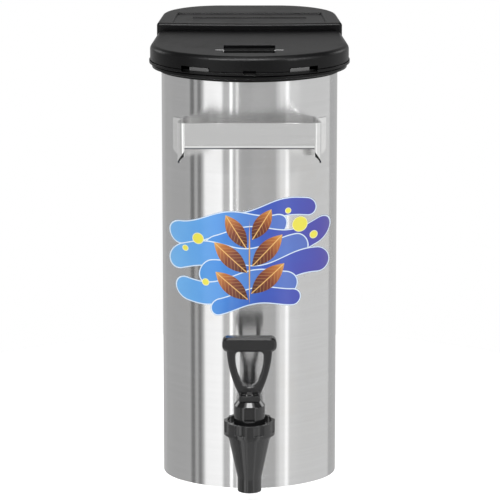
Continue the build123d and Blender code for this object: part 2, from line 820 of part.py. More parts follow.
# Washers on both sides of the wall, shaped to it, and the nut inside
with BuildPart() as outer_washer:
    with BuildSketch(Plane.XZ.offset(-shank_front)):
        with Locations((0, shank_z)):
            Circle(outer_washer_radius)
            Circle(shank_radius + soft_fit, mode=Mode.SUBTRACT)
    extrude(amount=-nose_crown)
    with BuildSketch():
        draw_oval()
    extrude(amount=tank_height, mode=Mode.SUBTRACT)
save(outer_washer, "outer_washer")

nut_front = front_y + wall_thickness + washer_thickness
with BuildPart() as inner_washer:
    with BuildSketch(Plane.XZ.offset(-nut_front)):
        with Locations((0, shank_z)):
            Circle(inner_washer_radius)
            Circle(shank_radius + soft_fit, mode=Mode.SUBTRACT)
    extrude(amount=nose_crown)
    with BuildSketch():
        draw_oval(-wall_thickness)
    extrude(amount=tank_height, mode=Mode.INTERSECT)
save(inner_washer, "inner_washer")

with BuildPart() as lock_nut:
    with BuildSketch(Plane.XZ.offset(-nut_front)):
        with Locations((0, shank_z)):
            RegularPolygon(nut_width / 2, 6, major_radius=False, rotation=30)
            Circle(shank_radius + pin_seat_fit, mode=Mode.SUBTRACT)
    extrude(amount=-nut_thickness)
save(lock_nut, "lock_nut")

# Bonnet: a lobed ring with a dished top, and the dome that holds the spring
with BuildPart() as tap_bonnet:
    dish_z = bonnet_top - dish_depth
    with BuildSketch(tap_plane):
        with BuildLine():
            Polyline(
                (0, bonnet_z),
                (bonnet_radius, bonnet_z),
                (bonnet_radius, bonnet_top),
                (dish_outer, bonnet_top),
                (dish_outer, dish_z),
                (dome_radius, dish_z),
                (dome_radius, dome_top - dome_bevel_drop),
                (dome_radius - dome_bevel_inset, dome_top),
                (0, dome_top),
                close=True,
            )
        make_face()
    revolve(axis=tap_axis)
    with BuildSketch(Plane.XY.offset(bonnet_z + lobe_cut_rise)):
        with Locations((0, tap_y)):
            cut_distance = bonnet_radius + lobe_cut_radius - lobe_cut_depth
            with PolarLocations(cut_distance, lobe_count, 180 / lobe_count):
                Circle(lobe_cut_radius)
    extrude(amount=bonnet_height, mode=Mode.SUBTRACT)
    with BuildSketch(Plane.XY.offset(bonnet_z)):
        with Locations((0, tap_y)):
            Circle(thread_radius + bonnet_gap)
    extrude(amount=bonnet_cavity_top - bonnet_z, mode=Mode.SUBTRACT)
    with BuildSketch(Plane.XY.offset(bonnet_cavity_top)):
        with Locations((0, tap_y)):
            Circle(dome_bore)
    extrude(amount=spring_top - bonnet_cavity_top, mode=Mode.SUBTRACT)
    with BuildSketch(Plane.XY.offset(spring_top)):
        with Locations((0, tap_y)):
            Circle(stem_radius + stem_guide_gap)
    extrude(amount=dome_roof, mode=Mode.SUBTRACT)
    with BuildSketch(tap_plane.offset(dome_radius - window_depth)):
        with Locations((0, window_z)):
            Rectangle(window_width, window_height)
    extrude(amount=window_depth, mode=Mode.SUBTRACT)
save(tap_bonnet, "tap_bonnet")

# Stem: button, rod, collar and the slotted eye that the handle's pin lifts
cup_bottom = chamber_floor + seat_rise + cup_gap
button_z = cup_bottom + button_inset
with BuildPart() as valve_stem:
    with BuildSketch(tap_plane):
        with BuildLine():
            Polyline(
                (0, button_z),
                (button_radius, button_z),
                (button_radius, button_z + button_height),
                (stem_radius, button_z + button_height),
                (stem_radius, collar_top - collar_height),
                (collar_radius, collar_top - collar_height),
                (collar_radius, collar_top),
                (stem_radius, collar_top),
                (stem_radius, pin_z),
                (0, pin_z),
                close=True,
            )
        make_face()
    revolve(axis=tap_axis)
    with BuildSketch(Plane.YZ.offset(-eye_width / 2)):
        with Locations((tap_y + (eye_back - eye_front) / 2, pin_z)):
            RectangleRounded(eye_front + eye_back, eye_height, eye_slot_gap)
    extrude(amount=eye_width)
    with BuildSketch(Plane.YZ.offset(-eye_width)):
        slot_front = handle_pin_radius + eye_slot_travel
        slot_back = handle_pin_radius + eye_slot_gap
        with Locations((tap_y + (slot_back - slot_front) / 2, pin_z)):
            Rectangle(slot_front + slot_back, 2 * slot_back)
    extrude(amount=2 * eye_width, mode=Mode.SUBTRACT)
save(valve_stem, "valve_stem")

# Spring: a sleeve that stands for the coil hidden in the dome
with BuildPart() as stem_spring:
    with BuildSketch(Plane.XY.offset(collar_top)):
        with Locations((0, tap_y)):
            Circle(spring_outer)
            Circle(spring_outer - spring_wire, mode=Mode.SUBTRACT)
    extrude(amount=spring_length)
save(stem_spring, "stem_spring")

# Cup: the soft stopper on the stem's button
with BuildPart() as seat_cup:
    with BuildSketch(tap_plane):
        with BuildLine():
            Polyline(
                (0, cup_bottom),
                (cup_radius, cup_bottom),
                (cup_radius, cup_bottom + cup_lip),
                (cup_neck_radius, cup_bottom + 2 * cup_lip),
                (cup_neck_radius, cup_bottom + cup_height),
                (stem_radius + soft_fit, cup_bottom + cup_height),
                (stem_radius + soft_fit, button_z + button_height + soft_fit),
                (button_radius + soft_fit, button_z + button_height + soft_fit),
                (button_radius + soft_fit, button_z - soft_fit),
                (0, button_z - soft_fit),
                close=True,
            )
        make_face()
    revolve(axis=tap_axis)
save(seat_cup, "seat_cup")

# Handle: a finger loop under a bevelled bar, on a neck that straddles the stem's eye
with BuildPart() as handle_bar:
    with BuildSketch(tap_plane.offset(-bar_depth / 2)):
        with Locations((0, finger_top + bar_height / 2)):
            RectangleRounded(2 * bar_half_width, bar_height, bar_round)
    extrude(amount=bar_depth)
    front_face = handle_bar.faces().sort_by(Axis.Y)[0]
    back_face = handle_bar.faces().sort_by(Axis.Y)[-1]
    chamfer(front_face.edges() + back_face.edges(), bar_bevel)

with BuildPart() as tap_handle:
    with BuildSketch(tap_plane.offset(-loop_depth / 2)):
        with BuildLine():
            right = ThreePointArc(
                (loop_bottom_half, hollow_bottom),
                (loop_mid_half, neck_z + loop_mid_rise),
                (loop_top_half, finger_top),
            )
            Line(right @ 0, (0, hollow_bottom))
            Polyline(right @ 1, (loop_top_half, finger_top + bar_round), (0, finger_top + bar_round))
            mirror(about=Plane.YZ)
        make_face()
        with BuildLine():
            lower = EllipticalCenterArc(
                (0, finger_widest), finger_half, finger_widest - finger_bottom, 180, arc_size=180
            )
            FilletPolyline(
                lower @ 0,
                (-finger_half, finger_top),
                (finger_half, finger_top),
                lower @ 1,
                radius=finger_round,
            )
        make_face(mode=Mode.SUBTRACT)
    extrude(amount=loop_depth)
    front_face = tap_handle.faces().sort_by(Axis.Y)[0]
    back_face = tap_handle.faces().sort_by(Axis.Y)[-1]
    fillet(front_face.edges() + back_face.edges(), loop_round)
    add(handle_bar.part)
    # Neck, with its heel rounded where it rocks on the dome
    neck_front = heel_y - heel_radius
    neck_rear = tap_y + neck_back
    with BuildSketch(Plane.XY.offset(neck_z)):
        with Locations((0, (neck_front + neck_rear) / 2)):
            Rectangle(2 * neck_half_width, neck_rear - neck_front)
    extrude(amount=neck_height)
    heel = tap_handle.edges().filter_by(Axis.X).group_by(Axis.Z)[0].sort_by(Axis.Y)[0]
    fillet(heel, heel_radius)
    # Room for the eye, open to the back, and the hollow above it, open to the front
    slot_length = neck_rear - neck_front
    with BuildSketch(Plane.XY.offset(neck_z)):
        with Locations((0, neck_front + neck_front_wall + slot_length / 2)):
            Rectangle(eye_width + 2 * slot_side_gap, slot_length)
    extrude(amount=slot_rise, mode=Mode.SUBTRACT)
    with BuildSketch(tap_plane.offset(loop_depth / 2 - hollow_depth)):
        with BuildLine():
            Polyline(
                (-hollow_bottom_half, hollow_bottom),
                (hollow_bottom_half, hollow_bottom),
                (hollow_bottom_half, hollow_bottom + hollow_height / 3),
                (hollow_top_half, hollow_bottom + hollow_height),
                (-hollow_top_half, hollow_bottom + hollow_height),
                (-hollow_bottom_half, hollow_bottom + hollow_height / 3),
                close=True,
            )
        make_face()
    extrude(amount=2 * hollow_depth + neck_back, mode=Mode.SUBTRACT)
    with Locations(Location((0, tap_y, pin_z), (0, 90, 0))):
        Cylinder(handle_pin_radius + soft_fit / 2, 4 * neck_half_width, mode=Mode.SUBTRACT)
save(tap_handle, "tap_handle")

# Cross pin through the neck and the eye
with BuildPart() as handle_pin:
    with Locations(Location((0, tap_y, pin_z), (0, 90, 0))):
        Cylinder(handle_pin_radius, handle_pin_length)
save(handle_pin, "handle_pin")
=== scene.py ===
"""Oval tea urn: brushed steel tank, black lid, strap handles and a gloss charcoal tap."""

import json
from math import pi, radians

import bmesh
import bpy
from mathutils import Matrix, Vector


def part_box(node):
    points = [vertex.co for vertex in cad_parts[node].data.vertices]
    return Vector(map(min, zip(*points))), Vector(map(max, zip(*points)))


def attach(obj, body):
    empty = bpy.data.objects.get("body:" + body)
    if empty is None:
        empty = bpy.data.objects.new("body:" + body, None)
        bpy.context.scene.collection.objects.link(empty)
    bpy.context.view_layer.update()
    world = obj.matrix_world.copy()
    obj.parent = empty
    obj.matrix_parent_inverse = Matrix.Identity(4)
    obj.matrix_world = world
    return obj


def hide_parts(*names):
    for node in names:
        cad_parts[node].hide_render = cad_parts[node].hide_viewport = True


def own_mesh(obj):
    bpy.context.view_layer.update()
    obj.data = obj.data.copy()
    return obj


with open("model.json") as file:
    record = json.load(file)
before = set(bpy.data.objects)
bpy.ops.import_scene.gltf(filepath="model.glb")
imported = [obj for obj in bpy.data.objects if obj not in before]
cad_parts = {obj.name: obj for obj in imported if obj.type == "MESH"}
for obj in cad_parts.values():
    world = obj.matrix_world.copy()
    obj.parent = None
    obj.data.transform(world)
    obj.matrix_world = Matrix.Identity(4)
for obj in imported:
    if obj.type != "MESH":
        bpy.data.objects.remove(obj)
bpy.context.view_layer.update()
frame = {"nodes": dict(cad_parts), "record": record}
nodes = frame["nodes"]
scene = bpy.context.scene
scene.view_settings.view_transform = "Standard"

# Camera, as it stood for the photograph
CAMERA_PLACE = (0.0005, -3.0515, 0.9434)
CAMERA_PITCH = radians(13.63)
CAMERA_LENS = 233.8
SENSOR_WIDTH = 36.0
VIEW_DEPTH = 20.0

# Lamps: name, place, size, power in watts, and whether gloss shows them
LAMP_TARGET = (0, 0, 0.2)
LAMPS = (
    ("key_lamp", (-1.5, -2.2, 2.4), 0.7, 45, True),
    ("fill_lamp", (2.0, -1.6, 1.6), 0.8, 22, True),
    ("rear_lamp", (0.4, 2.4, 2.2), 1.4, 20, False),
)

# Floor
FLOOR_RADIUS = 0.45
FLOOR_TONE = (0.85, 0.85, 0.85, 1)
FLOOR_GLOW = 0.5  # what the camera sees added, so that the floor comes out white

# Cards round the studio that bright surfaces mirror: from and to in degrees, with 0 on the camera's side
# and 90 on +X, then brightness and the softness of the card's sides in degrees
BASE_LEVEL = 0.54
CARDS = (
    (-140, -74, 0.49, 12),
    (-72, -66.5, 0.2, 1),
    (-62, -57.5, 0.24, 1),
    (-54, -31, 1.28, 4),
    (-28, -11, 0.6, 3),
    (-22.6, -19.4, 1.75, 0.6),
    (-15.6, -12.6, 1.1, 0.8),
    (-9, 3, 0.5, 5),
    (31, 120, 0.78, 4),
    (35, 47, 1.0, 3),
    (42, 46, 1.4, 1.5),
)
SOFT_LEVEL = 0.62  # what the studio gives to surfaces without gloss
# Other parts of the studio that gloss sees, each over the ones before it: its level, then its limits by the
# parts of a direction, from where it starts to where it is full, and whether that limit is soft
TOP_CARD = (("Y", -0.25, -0.4, True), ("Z", 0.6, 0.68, False), ("Z", 0.92, 0.86, False))
ZONES = (
    # Overhead
    (0.14, (("Z", 0.2, 0.5, True),)),
    # Low at the rear, which the flat tops mirror
    (0.34, (("Y", 0.5, 0.8, True), ("Z", 0.0, 0.08, False), ("Z", 0.7, 0.4, True))),
    # Windows at the rear of both sides, for the lid's round shoulders
    (3.0, (
        ("side", 0.55, 0.7, True), ("Y", 0.3, 0.45, True), ("Z", 0.15, 0.25, False), ("Z", 0.6, 0.5, False),
    )),
    # A card high in front, and the lamp in its middle
    (1.8, TOP_CARD),
    (12.0, (*TOP_CARD, ("side", 0.34, 0.2, True))),
    # Straight overhead, which lights the inside of the open tank
    (2.0, (("Z", 0.93, 0.97, True),)),
    # The floor, which gloss doesn't see itself
    (0.95, (("Z", -0.55, -0.75, True),)),
)

# Steel finishes. Grain is the spread of the roughness, and the scratches run along the stretch's small values
STEELS = {
    "brushed_wall": {
        "tone": (0.72, 0.72, 0.72), "roughness": 0.15, "grain": 0.012, "stretch": (6, 6, 1200),
        "inner_metallic": 0.35,
    },
    "plain_sheet": {
        "tone": (0.6, 0.6, 0.59), "roughness": 0.32, "grain": 0.05, "stretch": (300, 12, 12),
        "anisotropic": 0.3,
    },
    "handle_sheet": {
        "tone": (0.88, 0.88, 0.875), "roughness": 0.2, "grain": 0.008, "stretch": (8, 8, 700),
        # the handle's last value is painted shade on its downward-facing faces and leg edges
        "anisotropic": 0.6, "metallic": 0.85, "painted_underside_shade": 0.97,
    },
    "screw_steel": {
        "tone": (0.6, 0.6, 0.6), "roughness": 0.25, "grain": 0.05, "stretch": (400, 400, 60),
        "anisotropic": 0.2,
    },
    "bright_pin": {
        "tone": (0.85, 0.85, 0.85), "roughness": 0.3, "grain": 0.03, "stretch": (900, 60, 60),
        "anisotropic": 0.3, "metallic": 0.5,
    },
    "spring_steel": {
        "tone": (0.6, 0.6, 0.6), "roughness": 0.25, "grain": 0.05, "stretch": (400, 400, 1500),
        "anisotropic": 0.2,
    },
}
# Plastic and rubber finishes. Grain and depth are the skin's, and reach is how far in the edges are worn
PLASTICS = {
    "lid_plastic": {
        "tone": (0.0025, 0.0025, 0.0027), "worn": (0.006, 0.006, 0.0065), "roughness": 0.31,
        "grain": 900, "depth": 0.00006, "reach": 0.0012, "specular": 0.22,
    },
    "catch_plastic": {
        "tone": (0.1, 0.1, 0.1), "worn": (0.2, 0.2, 0.2), "roughness": 0.4,
        "grain": 1200, "depth": 0.00005, "reach": 0.0008, "specular": 0.4,
    },
    "door_plastic": {
        "tone": (0.003, 0.003, 0.003), "worn": (0.008, 0.008, 0.008), "roughness": 0.5,
        "grain": 900, "depth": 0.0001, "reach": 0.0008, "specular": 0.1,
    },
    "tap_plastic": {
        "tone": (0.009, 0.009, 0.0094), "worn": (0.035, 0.035, 0.036), "roughness": 0.07,
        "grain": 500, "depth": 0.000001, "reach": 0.0008, "specular": 0.75, "rounding": 0.0004,
    },
    "stem_plastic": {
        "tone": (0.02, 0.02, 0.02), "worn": (0.05, 0.05, 0.05), "roughness": 0.4,
        "grain": 900, "depth": 0.00003, "reach": 0.0006, "specular": 0.4,
    },
    "pale_silicone": {
        "tone": (0.62, 0.62, 0.58), "worn": (0.7, 0.7, 0.66), "roughness": 0.45,
        "grain": 700, "depth": 0.00003, "reach": 0.0006, "specular": 0.4,
    },
    "dark_rubber": {
        "tone": (0.02, 0.02, 0.02), "worn": (0.05, 0.05, 0.05), "roughness": 0.6,
        "grain": 1100, "depth": 0.00005, "reach": 0.0006, "specular": 0.3,
    },
    "nut_plastic": {
        "tone": (0.03, 0.03, 0.03), "worn": (0.07, 0.07, 0.07), "roughness": 0.45,
        "grain": 900, "depth": 0.00006, "reach": 0.0008, "specular": 0.4,
    },
}
BEVEL_SAMPLES = 6
PAINTED_SHADE_TONE = (0.01, 0.01, 0.01, 1)  # painted shade on the strap handles' downward-facing faces and lower leg edges
LEG_SIDE = 0.0598  # beyond this X the painted shade also covers a strap handle's leg edges, which face only a little downward
LEG_FADE = 0.0004

# Closing spring of the tap
SPRING_WIRE = 0.0012
SPRING_TURNS = 7
TURN_STEPS = 28
WIRE_SIDES = 10

# Ribbons of the front design in millimetres: middle x and z, half length, half height, slope, phase, shade
RIBBONS = (
    (18, 266, 36, 9.0, 0.1, 0.4, 0.0),
    (-20, 253, 44, 11.5, 0.12, 1.6, 0.2),
    (16, 240, 48, 12.5, 0.1, 2.9, 0.0),
    (-10, 225, 53, 12.5, 0.08, 4.0, 0.2),
    (14, 210, 49, 12.5, 0.1, 5.1, 0.0),
    (-12, 196, 46, 11.5, 0.12, 0.3, 0.2),
    (6, 184, 34, 8.5, 0.12, 1.5, 0.0),
)
# Leaves of the front design in millimetres: middle x and z, turn in degrees, half length, half width
LEAVES = (
    (0, 219, 90, 43, 0.9),
    (-16.5, 197, 140, 20, 8.6),
    (17, 204, 42, 21, 9.0),
    (-17.5, 224, 138, 21, 9.0),
    (16.5, 231, 46, 20.5, 8.8),
    (-12.5, 249, 122, 18.5, 8.2),
    (11.5, 256, 58, 17, 7.6),
)
# Dots of the front design in millimetres: x, z and radius
DOTS = ((47, 254, 7.5), (60, 242, 4.0), (36, 268, 3.0), (-48, 240, 5.5), (-60, 229, 3.0), (-41, 199, 3.6))
PRINT_HALF_WIDTH = 0.076
PRINT_EDGE = 0.0003
WAVE_LENGTH = 0.085
WAVE_HEIGHT = 0.0042
RIBBON_RIM = 0.0011
DOT_RIM = 0.0006
VEIN_PITCH = 0.0022
VEIN_WIDTH = 0.0004
MIDRIB_WIDTH = 0.0006
TINT_DRIFT = 0.16
# Colours of the front design, with the stops of the ramps from one side or end to the other
BLUES = (
    (0.0, (0.13, 0.42, 0.8)),
    (0.3, (0.05, 0.27, 0.74)),
    (0.6, (0.04, 0.1, 0.5)),
    (1.0, (0.07, 0.05, 0.38)),
)
AMBERS = (
    (0.0, (0.05, 0.012, 0.008)),
    (0.5, (0.2, 0.04, 0.015)),
    (0.8, (0.5, 0.16, 0.03)),
    (1.0, (0.75, 0.38, 0.07)),
)
SKY_BLUE = (0.25, 0.55, 0.95, 1)
PALE_BLUE = (0.72, 0.84, 0.95, 1)
VEIN_AMBER = (0.85, 0.5, 0.16, 1)
YELLOW = (0.86, 0.78, 0.08, 1)
PALE_YELLOW = (0.95, 0.93, 0.55, 1)


def add_camera():
    """Add the camera at the photograph's viewing angle."""
    data = bpy.data.cameras.new("camera")
    data.lens = CAMERA_LENS
    data.sensor_width = SENSOR_WIDTH
    data.clip_end = VIEW_DEPTH
    camera = bpy.data.objects.new("camera", data)
    camera.location = CAMERA_PLACE
    camera.rotation_euler = (pi / 2 - CAMERA_PITCH, 0, 0)
    scene.collection.objects.link(camera)
    scene.camera = camera


def add_lamp(name, place, size, power, mirrored):
    """Add a soft square lamp that looks at the middle of the urn, and say whether gloss shows it."""
    data = bpy.data.lights.new(name, "AREA")
    data.shape = "SQUARE"
    data.size = size
    data.energy = power
    lamp = bpy.data.objects.new(name, data)
    lamp.location = place
    lamp.rotation_euler = (Vector(LAMP_TARGET) - Vector(place)).to_track_quat("-Z", "Y").to_euler()
    lamp.visible_glossy = mirrored
    scene.collection.objects.link(lamp)


class Tree:
    """Short ways to add and join the nodes of one node tree."""

    def __init__(self, tree):
        self.tree = tree

    def add(self, kind, inputs=None, **settings):
        """Add a node, with its settings and inputs."""
        node = self.tree.nodes.new(kind)
        for name, value in settings.items():
            setattr(node, name, value)
        for name, value in (inputs or {}).items():
            self.put(value, node.inputs[name])
        return node

    def put(self, value, socket):
        """Join an output to a socket, or set the socket to a value."""
        if isinstance(value, bpy.types.NodeSocket):
            self.tree.links.new(value, socket)
        else:
            socket.default_value = value

    def math(self, operation, *values):
        """Work out one step of arithmetic."""
        node = self.add("ShaderNodeMath", operation=operation)
        for value, socket in zip(values, node.inputs):
            self.put(value, socket)
        return node.outputs[0]

    def span(self, value, low, high, to_low=0.0, to_high=1.0, smooth=False):
        """Map a value from one span to another, and stop at its ends."""
        kind = "SMOOTHSTEP" if smooth else "LINEAR"
        inputs = {"Value": value, "From Min": low, "From Max": high, "To Min": to_low, "To Max": to_high}
        return self.add("ShaderNodeMapRange", inputs, interpolation_type=kind).outputs[0]

    def mix(self, share, first, second):
        """Blend two colours."""
        node = self.add("ShaderNodeMix", data_type="RGBA")
        for value, socket in zip((share, first, second), (node.inputs[0], node.inputs[6], node.inputs[7])):
            self.put(value, socket)
        return node.outputs[2]

    def ramp(self, share, stops):
        """Colour a value from 0 to 1 by stops of place and colour."""
        node = self.add("ShaderNodeValToRGB", {0: share})
        marks = node.color_ramp.elements
        marks.remove(marks[-1])
        for index, (place, colour) in enumerate(stops):
            mark = marks[0] if index == 0 else marks.new(place)
            mark.position = place
            mark.color = (*colour, 1)
        return node.outputs["Color"]

    def noise(self, place, scale, detail, stretch=(1, 1, 1)):
        """Give a cloudy value from 0 to 1."""
        mapping = self.add("ShaderNodeMapping", {"Vector": place, "Scale": stretch})
        inputs = {"Vector": mapping.outputs[0], "Scale": scale, "Detail": detail}
        return self.add("ShaderNodeTexNoise", inputs).outputs["Fac"]

    def place(self):
        """Give the place on the object."""
        return self.add("ShaderNodeTexCoord").outputs["Object"]

    def parts(self, vector):
        """Give the three parts of a vector by their names."""
        return self.add("ShaderNodeSeparateXYZ", {0: vector}).outputs

    def normal(self):
        """Give the true normal of the surface."""
        return self.add("ShaderNodeNewGeometry").outputs["Normal"]

    def dot(self, first, second):
        """Give how far two vectors point the same way."""
        node = self.add("ShaderNodeVectorMath", {0: first, 1: second}, operation="DOT_PRODUCT")
        return node.outputs["Value"]

    def size(self, value):
        """Give a value without its sign."""
        return self.math("ABSOLUTE", value)

    def rounded(self, radius):
        """Give a normal that rounds off edges."""
        return self.add("ShaderNodeBevel", {"Radius": radius}, samples=BEVEL_SAMPLES).outputs[0]


def new_group(name, inputs, outputs):
    """Start a node group with named inputs and outputs."""
    group = bpy.data.node_groups.new(name, "ShaderNodeTree")
    for title, value in inputs.items():
        kind = "NodeSocketVector" if isinstance(value, tuple) else "NodeSocketFloat"
        group.interface.new_socket(title, in_out="INPUT", socket_type=kind).default_value = value
    for title in outputs:
        group.interface.new_socket(title, in_out="OUTPUT", socket_type="NodeSocketFloat")
    tree = Tree(group)
    return group, tree, tree.add("NodeGroupInput").outputs, tree.add("NodeGroupOutput").inputs


def use(tree, group, **values):
    """Place a node group in a tree, and give its outputs."""
    node = tree.add("ShaderNodeGroup", node_tree=group)
    for title, value in values.items():
        tree.put(value, node.inputs[title.replace("_", " ")])
    return node.outputs


def make_brushing():
    """Fine scratches in one direction, with broader streaks among them."""
    group, tree, given, out = new_group(
        "brushing", {"Stretch": (6, 6, 1200), "Roughness": 0.2, "Grain": 0.04}, ("Roughness", "Tone")
    )
    place = tree.place()
    fine = tree.noise(place, scale=1.0, detail=3.0, stretch=given["Stretch"])
    broad = tree.noise(place, scale=0.14, detail=2.0, stretch=given["Stretch"])
    both = tree.math("MULTIPLY_ADD", broad, 0.4, tree.math("MULTIPLY", fine, 0.6))
    shift = tree.math("MULTIPLY", tree.span(both, 0.35, 0.65, -1.0, 1.0), given["Grain"])
    tree.put(tree.math("ADD", given["Roughness"], shift), out["Roughness"])
    tree.put(tree.span(both, 0.3, 0.7), out["Tone"])
    return group


def make_smudges():
    """Faint cloudy marks, as hands and wiping leave them."""
    group, tree, given, out = new_group("smudges", {"Scale": 14.0, "Amount": 0.5}, ("Mask",))
    place = tree.place()
    cloud = tree.noise(place, given["Scale"], detail=4.0)
    fine = tree.noise(place, tree.math("MULTIPLY", given["Scale"], 6.0), detail=3.0)
    both = tree.math("MULTIPLY", tree.span(cloud, 0.48, 0.7, smooth=True), tree.span(fine, 0.3, 0.7))
    tree.put(tree.math("MULTIPLY", both, given["Amount"]), out["Mask"])
    return group


def make_moulded_grain():
    """The fine pebbled skin of a moulded plastic piece."""
    group, tree, given, out = new_group("moulded_grain", {"Scale": 900.0}, ("Height", "Tone"))
    place = tree.place()
    cells = tree.add("ShaderNodeTexVoronoi", {"Vector": place, "Scale": given["Scale"]}, feature="SMOOTH_F1")
    tree.put(tree.span(cells.outputs["Distance"], 0.1, 0.7), out["Height"])
    tree.put(tree.noise(place, scale=40.0, detail=3.0), out["Tone"])
    return group


def make_worn_edges():
    """A mask of the edges within a reach, where handling polishes them."""
    group, tree, given, out = new_group("worn_edges", {"Reach": 0.001}, ("Mask",))
    likeness = tree.dot(tree.rounded(given["Reach"]), tree.normal())
    tree.put(tree.span(likeness, 0.995, 0.85), out["Mask"])
    return group


def make_ribbon():
    """A printed ribbon with a wavy middle line and round ends, and the pale rim round it."""
    inputs = {
        "Middle X": 0.0, "Middle Z": 0.0, "Half Length": 0.0, "Half Height": 0.01,
        "Slope": 0.0, "Phase": 0.0, "Wave": 0.0, "Rim": 0.001,
    }
    group, tree, given, out = new_group("ribbon", inputs, ("Fill", "Rim"))
    place = tree.parts(tree.place())
    across = tree.math("SUBTRACT", place["X"], given["Middle X"])
    angle = tree.math("MULTIPLY_ADD", across, 2 * pi / WAVE_LENGTH, given["Phase"])
    line = tree.math("MULTIPLY_ADD", across, given["Slope"], given["Middle Z"])
    line = tree.math("MULTIPLY_ADD", tree.math("SINE", angle), given["Wave"], line)
    past = tree.math("MAXIMUM", tree.math("SUBTRACT", tree.size(across), given["Half Length"]), 0.0)
    above = tree.math("SUBTRACT", place["Z"], line)
    squares = tree.math("MULTIPLY_ADD", past, past, tree.math("MULTIPLY", above, above))
    depth = tree.math("SUBTRACT", given["Half Height"], tree.math("SQRT", squares))
    fill = tree.span(depth, 0.0, PRINT_EDGE)
    inner = tree.span(tree.math("SUBTRACT", depth, given["Rim"]), 0.0, PRINT_EDGE)
    tree.put(fill, out["Fill"])
    tree.put(tree.math("SUBTRACT", fill, inner), out["Rim"])
    return group


def make_leaf():
    """A printed leaf with two curved sides, its vein, and the way along it from 0 to 1."""
    inputs = {
        "Middle X": 0.0, "Middle Z": 0.0, "Turn": 0.0, "Half Length": 0.02, "Half Width": 0.01,
    }
    group, tree, given, out = new_group("leaf", inputs, ("Fill", "Vein", "Along"))
    place = tree.parts(tree.place())
    across = tree.math("SUBTRACT", place["X"], given["Middle X"])
    above = tree.math("SUBTRACT", place["Z"], given["Middle Z"])
    cosine = tree.math("COSINE", given["Turn"])
    sine = tree.math("SINE", given["Turn"])
    along = tree.math("MULTIPLY_ADD", across, cosine, tree.math("MULTIPLY", above, sine))
    side = tree.math("SUBTRACT", tree.math("MULTIPLY", above, cosine), tree.math("MULTIPLY", across, sine))
    share = tree.math("DIVIDE", along, given["Half Length"])
    bow = tree.math("SUBTRACT", 1.0, tree.math("MULTIPLY", share, share))
    room = tree.math("MULTIPLY", bow, given["Half Width"])
    depth = tree.math("SUBTRACT", room, tree.size(side))
    fill = tree.span(depth, 0.0, PRINT_EDGE)
    teeth = tree.math("PINGPONG", tree.math("ADD", tree.size(side), along), VEIN_PITCH)
    veins = tree.math("MULTIPLY", tree.span(teeth, VEIN_WIDTH, 0.0), 0.5)
    middle = tree.span(tree.size(side), MIDRIB_WIDTH, PRINT_EDGE)
    tree.put(fill, out["Fill"])
    tree.put(tree.math("MULTIPLY", tree.math("MAXIMUM", veins, middle), fill), out["Vein"])
    tree.put(tree.span(share, -1.0, 1.0), out["Along"])
    return group


def new_material(name, **values):
    """Start a material, and give it with its tree and its shader."""
    material = bpy.data.materials.new(name)
    material.use_nodes = True
    shader = material.node_tree.nodes["Principled BSDF"]
    for title, value in values.items():
        socket = title.replace("_", " ").title().replace("Ior", "IOR")
        shader.inputs[socket].default_value = value
    return material, Tree(material.node_tree), shader.inputs


def steel(
    name, tone, roughness, grain, stretch, anisotropic=1.0, metallic=1.0, painted_underside_shade=0.0, inner_metallic=None
):
    """Brushed stainless steel. It can have painted shade on its faces that point down, or a duller side
    towards the urn's middle.
    """
    material, tree, shader = new_material(
        name, metallic=metallic, anisotropic=anisotropic, anisotropic_rotation=0.25
    )
    lines = use(tree, brushing, Stretch=stretch, Roughness=roughness, Grain=grain)
    marks = use(tree, smudges, Scale=11.0, Amount=0.5)["Mask"]
    dark = tuple(0.94 * value for value in tone)
    colour = tree.mix(lines["Tone"], (*dark, 1), (*tone, 1))
    warm = tuple(value * share for value, share in zip(tone, (0.93, 0.91, 0.88)))
    colour = tree.mix(marks, colour, (*warm, 1))
    if inner_metallic:
        outward = tree.dot(tree.normal(), tree.place())
        tree.put(tree.span(outward, -0.04, -0.02, inner_metallic, metallic), shader["Metallic"])
    # Painted shade: faces that point down, and the strap legs' lower edges, are darkened where shade falls
    # under the handle
    if painted_underside_shade:
        normal = tree.parts(tree.normal())
        side = tree.size(tree.parts(tree.place())["X"])
        low = tree.span(normal["Z"], -0.45, -0.8, 0.0, painted_underside_shade)
        end = tree.span(side, LEG_SIDE, LEG_SIDE + LEG_FADE)
        level = tree.span(tree.size(normal["X"]), 0.35, 0.25)
        leg = tree.math("MULTIPLY", tree.span(normal["Z"], -0.05, -0.2, 0.0, painted_underside_shade), level)
        painted_shade = tree.math("MAXIMUM", low, tree.math("MULTIPLY", leg, end))
        colour = tree.mix(painted_shade, colour, PAINTED_SHADE_TONE)
    tree.put(colour, shader["Base Color"])
    tree.put(tree.math("MULTIPLY_ADD", marks, 0.03, lines["Roughness"]), shader["Roughness"])
    tangent = tree.add("ShaderNodeTangent", direction_type="RADIAL", axis="Z")
    tree.put(tangent.outputs[0], shader["Tangent"])
    return material


def moulded(name, tone, worn, roughness, grain, depth, reach, specular, rounding=0.0006):
    """Moulded plastic with a pebbled skin and polished edges."""
    material, tree, shader = new_material(name, specular_ior_level=specular)
    skin = use(tree, moulded_grain, Scale=grain)
    edges = use(tree, worn_edges, Reach=reach)["Mask"]
    marks = use(tree, smudges, Scale=22.0, Amount=0.8)["Mask"]
    light = tuple(min(1.0, 1.25 * value) for value in tone)
    colour = tree.mix(tree.span(skin["Tone"], 0.35, 0.65), (*tone, 1), (*light, 1))
    tree.put(tree.mix(edges, colour, (*worn, 1)), shader["Base Color"])
    dull = tree.math("MULTIPLY_ADD", marks, 0.08, roughness)
    tree.put(tree.math("MULTIPLY_ADD", edges, -0.25 * roughness, dull), shader["Roughness"])
    relief = {"Height": skin["Height"], "Distance": depth, "Normal": tree.rounded(rounding)}
    tree.put(tree.add("ShaderNodeBump", relief).outputs[0], shader["Normal"])
    return material


